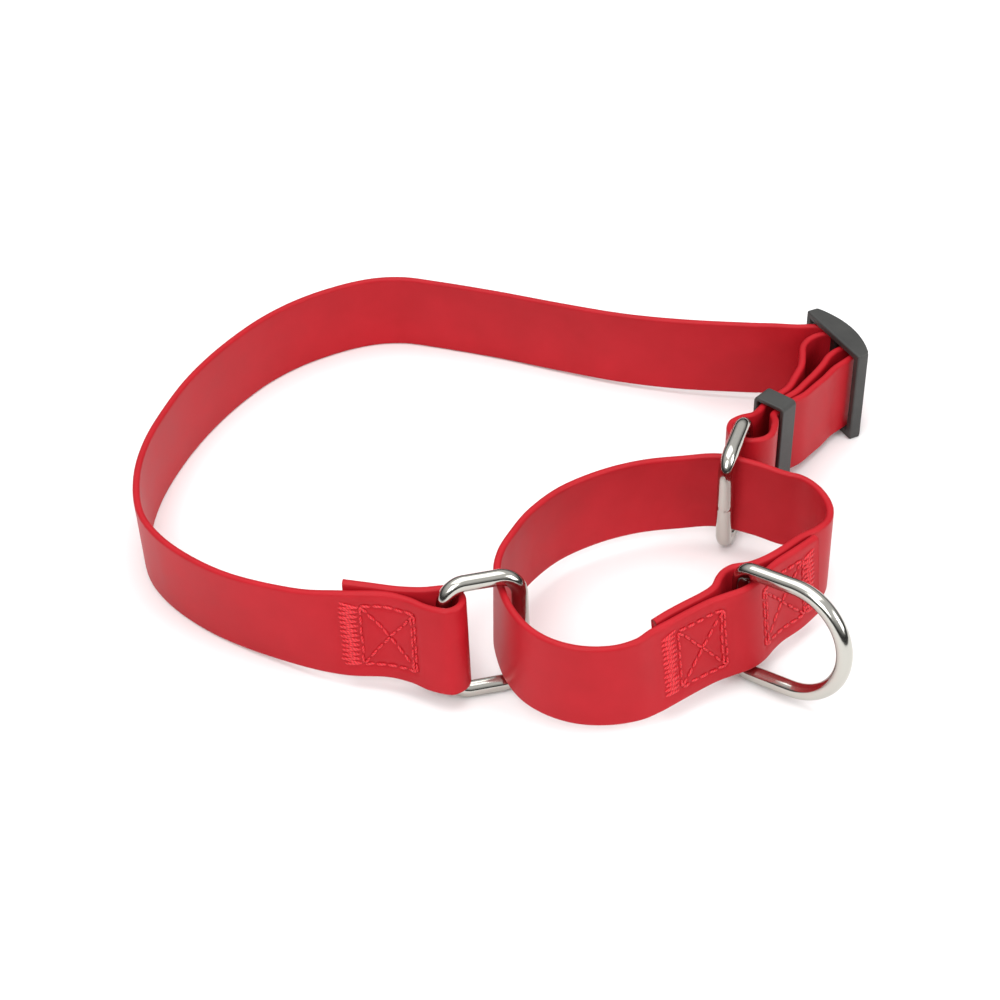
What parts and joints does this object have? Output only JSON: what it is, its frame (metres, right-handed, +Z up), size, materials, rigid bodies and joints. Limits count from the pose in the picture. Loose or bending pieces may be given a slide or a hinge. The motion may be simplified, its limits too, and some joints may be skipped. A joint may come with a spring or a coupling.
{
  "type": "martingale collar",
  "caption": "Coated webbing collar: neck strap with slider and keeper, linked by two wire rings to a smaller sewn control loop with a D-ring.",
  "frame": {"origin": "centre of the bounding box in plan, on the floor the collar stands on", "axes": "+Z up, +X along the collar's longest extent towards the slider, +Y from the control loop towards the back of the neck strap"},
  "size_m": [0.209, 0.1818, 0.0368],
  "materials": {
    "coated_webbing": "smooth satin coating over webbing",
    "plated_wire": "polished nickel-plated steel wire",
    "black_plastic": "matte moulded plastic",
    "thread": "twisted polyester sewing thread"
  },
  "bodies": {
    "neck": {"neck_strap": "coated_webbing", "neck_box_stitch": "thread", "neck_bartack": "thread"},
    "control": {"control_strap": "coated_webbing", "left_box_stitch": "thread", "left_bartack": "thread", "right_box_stitch": "thread", "right_bartack": "thread"},
    "left_ring": {"left_ring": "plated_wire"},
    "right_ring": {"right_ring": "plated_wire"},
    "d_ring": {"d_ring": "plated_wire"},
    "slider": {"slider": "black_plastic"},
    "keeper": {"keeper": "black_plastic"}
  },
  "joints": [
    {"name": "left_ring_swing", "type": "hinge", "parent": "neck", "child": "left_ring", "pos_m": [-0.01676, -0.07239, 0.0178], "axis": [-0.0472, 0.176, 0.9833], "range_deg": [-4, 4]},
    {"name": "right_ring_swing", "type": "hinge", "parent": "neck", "child": "right_ring", "pos_m": [0.06572, 0.00307, 0.01945], "axis": [-0.0349, -0.0985, 0.9945], "range_deg": [-5, 8]},
    {"name": "control_slack", "type": "slide", "parent": "neck", "child": "control", "axis": [0, 1, 0], "range_m": [0, 0.0005]},
    {"name": "d_ring_swing", "type": "hinge", "parent": "control", "child": "d_ring", "pos_m": [0.0595, -0.0631, 0.0172], "axis": [-0.0266, 0.1453, 0.989], "range_deg": [-75, 50]},
    {"name": "slider_slide", "type": "slide", "parent": "neck", "child": "slider", "axis": [0.454, -0.891, 0], "range_m": [-0.0006, 0.0006]},
    {"name": "keeper_slide", "type": "slide", "parent": "neck", "child": "keeper", "axis": [0.6613, 0.7501, 0], "range_m": [-0.0008, 0.0025]}
  ]
}
